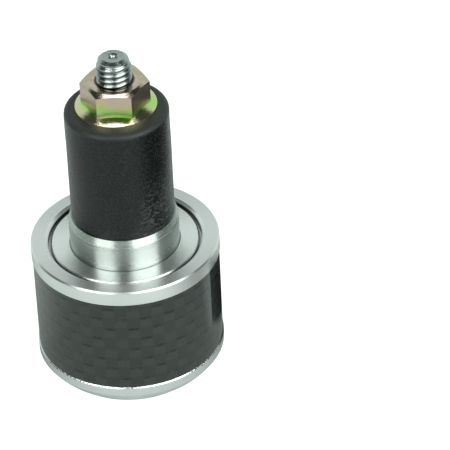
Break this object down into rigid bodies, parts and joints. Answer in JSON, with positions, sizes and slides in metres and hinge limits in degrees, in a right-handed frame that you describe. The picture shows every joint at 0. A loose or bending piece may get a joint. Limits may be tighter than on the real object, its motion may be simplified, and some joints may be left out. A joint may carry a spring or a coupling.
{
  "type": "bar end",
  "caption": "Motorbike handlebar end weight: drilled domed cap, carbon sleeve, rear ring, and a rubber expander plug drawn up by a socket screw and flange nut.",
  "frame": {"origin": "centre of the flat land around the screw seat, on the surface that the domed face stands on", "axes": "+Z along the screw's axis, from the domed face towards the nut that goes into the handlebar"},
  "size_m": [0.032, 0.032, 0.065],
  "materials": {
    "polished_aluminium": "polished",
    "carbon_weave": "plain weave carbon fibre under gloss clear resin",
    "turned_aluminium": "fine turned",
    "satin_aluminium": "satin",
    "black_rubber": "matte",
    "bright_zinc": "bright zinc plated",
    "yellow_zinc": "iridescent yellow zinc plated"
  },
  "bodies": {
    "weight": {"end_cap": "polished_aluminium", "carbon_sleeve": "carbon_weave", "core": "turned_aluminium", "rear_ring": "satin_aluminium", "collar": "turned_aluminium", "rubber_sleeve": "black_rubber"},
    "screw": {"socket_screw": "bright_zinc"},
    "nut": {"flange_nut": "yellow_zinc"}
  },
  "joints": [
    {"name": "screw_turn", "type": "hinge", "parent": "weight", "child": "screw", "pos_m": [0, 0, 0.0065], "axis": [0, 0, 1], "range_deg": [0, 1080]},
    {"name": "nut_draw", "type": "slide", "parent": "weight", "child": "nut", "axis": [0, 0, -1], "range_m": [0, 0.003], "deforming": ["rubber_sleeve"]}
  ],
  "couplings": [
    {"joint": "nut_draw", "follows": "screw_turn", "m_per_rad": 0.00015915}
  ]
}
